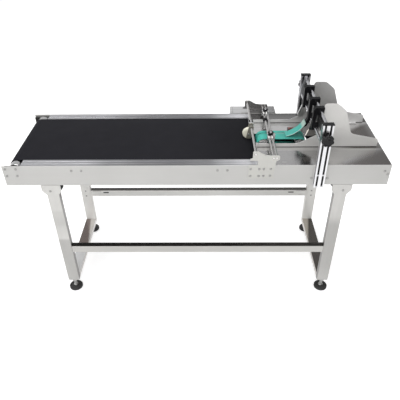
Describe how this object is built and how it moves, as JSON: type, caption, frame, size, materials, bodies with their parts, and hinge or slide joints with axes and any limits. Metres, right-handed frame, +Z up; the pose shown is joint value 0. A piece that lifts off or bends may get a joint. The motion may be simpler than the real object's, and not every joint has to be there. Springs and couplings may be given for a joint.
{
  "type": "friction feeder with belt conveyor for a coding line",
  "caption": "Stainless tube stand with a long flat belt conveyor and, at one end, a friction feeder: hopper cheeks, green feed belts, a gate on slotted posts and cross rods for a coder.",
  "frame": {"origin": "on the floor under the centre of the table top", "axes": "+X along the table towards the feeder, +Y away from the operator, +Z up"},
  "size_m": [1.5, 0.563, 0.869],
  "materials": {
    "panel_steel": "brushed stainless sheet, folded",
    "tube_steel": "brushed stainless tube, welded",
    "deck_steel": "polished stainless plate",
    "cheek_steel": "satin stainless sheet",
    "strip_aluminium": "mill finish extrusion",
    "post_aluminium": "clear anodised extrusion",
    "belt_rubber": "smooth black belt cover",
    "feed_rubber": "green friction rubber",
    "roller_steel": "turned steel",
    "rod_steel": "ground bright rod",
    "wheel_rubber": "cream moulded rubber",
    "black_metal": "black anodised aluminium",
    "black_plastic": "black moulded plastic",
    "box_steel": "plain sheet steel cover",
    "bolt_steel": "stainless screws"
  },
  "bodies": {
    "table": {"leg_front_left": "tube_steel", "leg_front_right": "tube_steel", "leg_rear_left": "tube_steel", "leg_rear_right": "tube_steel", "end_rail_left": "tube_steel", "end_rail_right": "tube_steel", "stretcher_front": "tube_steel", "stretcher_rear": "tube_steel", "side_panel_front": "panel_steel", "side_panel_rear": "panel_steel", "bracket_front": "panel_steel", "bracket_rear": "panel_steel", "belt_bed": "panel_steel", "edge_strip_front": "strip_aluminium", "edge_strip_rear": "strip_aluminium", "deck_plate": "deck_steel", "feed_frame": "deck_steel", "conveyor_belt": "belt_rubber", "tail_block_front": "roller_steel", "tail_block_rear": "roller_steel", "drum_mount_front": "roller_steel", "drum_mount_rear": "roller_steel", "cheek_front": "cheek_steel", "cheek_rear": "cheek_steel", "feed_belt_front": "feed_rubber", "feed_belt_rear": "feed_rubber", "photo_eye": "black_plastic", "post_caps": "black_plastic", "ramp_wedge": "black_metal", "exit_rod": "rod_steel", "cross_rod_left": "rod_steel", "cross_rod_right": "rod_steel", "post_front": "post_aluminium", "post_rear": "post_aluminium", "control_box": "box_steel", "panel_bolts": "bolt_steel"},
    "foot_front_left": {"foot_front_left": "black_plastic"},
    "foot_front_right": {"foot_front_right": "black_plastic"},
    "foot_rear_left": {"foot_rear_left": "black_plastic"},
    "foot_rear_right": {"foot_rear_right": "black_plastic"},
    "tail_roller": {"tail_roller": "roller_steel"},
    "drive_drum": {"drive_drum": "roller_steel"},
    "feed_drive_roller": {"feed_drive_roller": "roller_steel"},
    "feed_idler_roller": {"feed_idler_roller": "roller_steel"},
    "press_arm": {"press_arm": "black_metal"},
    "press_wheel": {"press_wheel": "wheel_rubber"},
    "separator_block": {"separator_block": "roller_steel"},
    "separator_blade": {"separator_blade": "roller_steel"},
    "separator_knob": {"separator_knob": "black_plastic"},
    "rod_block": {"rod_block": "roller_steel"},
    "rod_block_knob": {"rod_block_knob": "black_plastic"},
    "gate": {"gate_crossbar": "black_metal", "guide_rod_upper": "rod_steel", "guide_rod_lower": "rod_steel", "entry_guide": "black_metal", "entry_strip": "feed_rubber"},
    "side_guide_front": {"side_guide_front": "black_metal"},
    "side_guide_rear": {"side_guide_rear": "black_metal"},
    "star_knob_front": {"star_knob_front": "black_plastic"},
    "star_knob_rear": {"star_knob_rear": "black_plastic"}
  },
  "joints": [
    {"name": "foot_front_left_turn", "type": "hinge", "parent": "table", "child": "foot_front_left", "pos_m": [-0.575, -0.21, 0], "axis": [0, 0, 1], "continuous": true},
    {"name": "foot_front_right_turn", "type": "hinge", "parent": "table", "child": "foot_front_right", "pos_m": [0.575, -0.21, 0], "axis": [0, 0, 1], "continuous": true},
    {"name": "foot_rear_left_turn", "type": "hinge", "parent": "table", "child": "foot_rear_left", "pos_m": [-0.575, 0.21, 0], "axis": [0, 0, 1], "continuous": true},
    {"name": "foot_rear_right_turn", "type": "hinge", "parent": "table", "child": "foot_rear_right", "pos_m": [0.575, 0.21, 0], "axis": [0, 0, 1], "continuous": true},
    {"name": "drum_spin", "type": "hinge", "parent": "table", "child": "drive_drum", "pos_m": [0.212, 0, 0.65], "axis": [0, 1, 0], "continuous": true},
    {"name": "tail_spin", "type": "hinge", "parent": "table", "child": "tail_roller", "pos_m": [-0.706, 0, 0.65], "axis": [0, 1, 0], "continuous": true},
    {"name": "feed_drive_spin", "type": "hinge", "parent": "table", "child": "feed_drive_roller", "pos_m": [0.278, 0, 0.668], "axis": [0, 1, 0], "continuous": true},
    {"name": "feed_idler_spin", "type": "hinge", "parent": "table", "child": "feed_idler_roller", "pos_m": [0.428, 0, 0.668], "axis": [0, 1, 0], "continuous": true},
    {"name": "press_arm_swing", "type": "hinge", "parent": "table", "child": "press_arm", "pos_m": [0.2275, 0, 0.732], "axis": [0, 1, 0], "range_deg": [0, 50]},
    {"name": "press_wheel_spin", "type": "hinge", "parent": "press_arm", "child": "press_wheel", "pos_m": [0.216, -0.006, 0.7044], "axis": [0, 1, 0], "continuous": true},
    {"name": "separator_slide", "type": "slide", "parent": "table", "child": "separator_block", "axis": [0, 1, 0], "range_m": [-0.14, 0.12]},
    {"name": "separator_lift", "type": "slide", "parent": "separator_block", "child": "separator_blade", "axis": [0, 0, 1], "range_m": [0, 0.0028]},
    {"name": "separator_knob_turn", "type": "hinge", "parent": "separator_block", "child": "separator_knob", "pos_m": [0.3025, -0.0545, 0.68], "axis": [0, 0, 1], "continuous": true},
    {"name": "rod_block_slide", "type": "slide", "parent": "table", "child": "rod_block", "axis": [0, 1, 0], "range_m": [-0.02, 0.05]},
    {"name": "rod_block_knob_turn", "type": "hinge", "parent": "rod_block", "child": "rod_block_knob", "pos_m": [0.3025, 0.158, 0.68], "axis": [0, 0, 1], "continuous": true},
    {"name": "gate_lift", "type": "slide", "parent": "table", "child": "gate", "axis": [0, 0, 1], "range_m": [0, 0.018]},
    {"name": "side_guide_front_slide", "type": "slide", "parent": "gate", "child": "side_guide_front", "axis": [0, 1, 0], "range_m": [0, 0.045]},
    {"name": "side_guide_rear_slide", "type": "slide", "parent": "gate", "child": "side_guide_rear", "axis": [0, 1, 0], "range_m": [-0.085, 0.001]},
    {"name": "star_knob_front_turn", "type": "hinge", "parent": "gate", "child": "star_knob_front", "pos_m": [0.478, -0.2425, 0.806], "axis": [0, 1, 0], "continuous": true},
    {"name": "star_knob_rear_turn", "type": "hinge", "parent": "gate", "child": "star_knob_rear", "pos_m": [0.478, 0.2425, 0.806], "axis": [0, 1, 0], "continuous": true}
  ],
  "couplings": [
    {"joint": "tail_spin", "follows": "drum_spin", "ratio": 1},
    {"joint": "feed_idler_spin", "follows": "feed_drive_spin", "ratio": 1}
  ]
}
